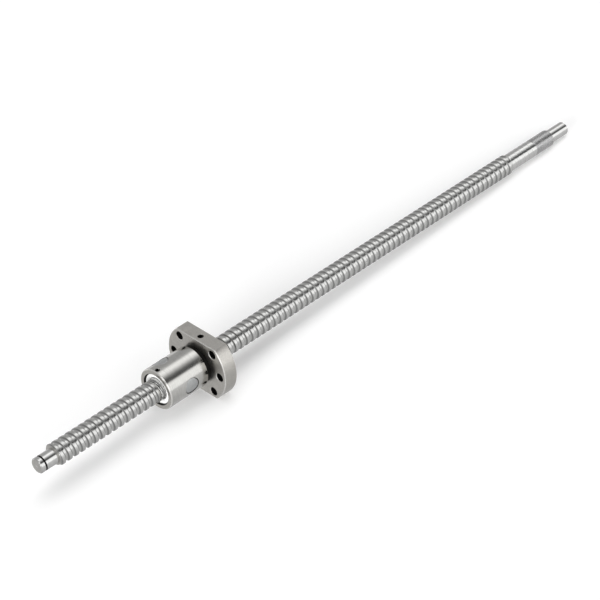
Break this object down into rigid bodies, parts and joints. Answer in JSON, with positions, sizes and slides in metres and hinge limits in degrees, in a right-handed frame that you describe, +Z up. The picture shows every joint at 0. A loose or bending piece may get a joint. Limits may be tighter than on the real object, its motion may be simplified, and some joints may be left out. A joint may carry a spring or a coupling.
{
  "type": "ball screw with flanged nut",
  "caption": "Long ball screw with turned ends, carrying a flanged ball nut that travels along it as it turns.",
  "frame": {"origin": "on the screw's axis, at the shoulder between the floating-end journal and the thread", "axes": "+X along the screw from the floating end to the fixed and drive end; +Z up, out of the flange's flat that has the oil hole; +Y completes the frame"},
  "size_m": [0.4, 0.04, 0.03],
  "materials": {
    "screw_steel": "rolled and polished bearing steel, with satin crests and ground journals",
    "nut_steel": "ground body, satin machined flange",
    "wiper_plastic": "moulded white acetal",
    "return_metal": "matt light grey sintered metal",
    "ball_steel": "polished bearing balls"
  },
  "bodies": {
    "screw": {"screw_shaft": "screw_steel"},
    "follower_ring": {"rear_wiper": "wiper_plastic"},
    "nut": {"nut_body": "nut_steel", "front_wiper": "wiper_plastic", "return_piece_1": "return_metal", "return_piece_2": "return_metal", "return_piece_3": "return_metal", "loaded_balls_1": "ball_steel", "loaded_balls_2": "ball_steel", "loaded_balls_3": "ball_steel", "returning_balls_1": "ball_steel", "returning_balls_2": "ball_steel", "returning_balls_3": "ball_steel"}
  },
  "joints": [
    {"name": "nut_travel", "type": "slide", "parent": "screw", "child": "follower_ring", "axis": [1, 0, 0], "range_m": [-0.06, 0.232]},
    {"name": "nut_turn", "type": "hinge", "parent": "follower_ring", "child": "nut", "pos_m": [0.0977, 0, 0], "axis": [1, 0, 0], "range_deg": [-5400, 20880]}
  ],
  "couplings": [
    {"joint": "nut_turn", "follows": "nut_travel", "rad_per_m": 1570.8}
  ]
}
